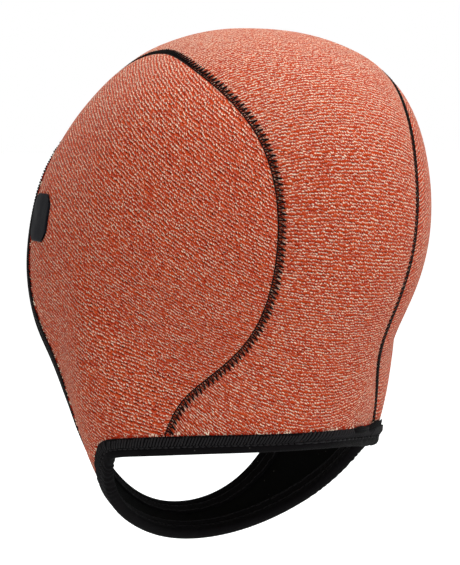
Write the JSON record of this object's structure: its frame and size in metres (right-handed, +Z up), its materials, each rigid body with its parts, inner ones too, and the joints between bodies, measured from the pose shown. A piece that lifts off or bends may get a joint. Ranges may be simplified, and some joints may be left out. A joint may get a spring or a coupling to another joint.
{
  "type": "surf cap",
  "caption": "Close-fitting neoprene surf cap with an open face, two curved crown seams, bound edges and a wide strap under the chin.",
  "frame": {"origin": "the seat of the head: the point on the lining at the crown where the top of the head touches it", "axes": "+Z up, -Y the way the wearer faces, +X towards the wearer's left ear"},
  "size_m": [0.1638, 0.2008, 0.2355],
  "materials": {
    "knit_shell": "heathered red-orange jersey knit bonded to foam, matt with a soft sheen",
    "black_lining": "smooth black jersey on foam, matt",
    "black_binding": "black stretch binding tape, matt with a faint sheen",
    "patch_film": "plain black flexible film, satin"
  },
  "bodies": {
    "root": {"centre_panel": "knit_shell", "side_panel_left": "knit_shell", "side_panel_right": "knit_shell", "lining": "black_lining", "face_binding": "black_binding", "neck_binding": "black_binding", "cheek_patch": "patch_film"}
  },
  "joints": []
}
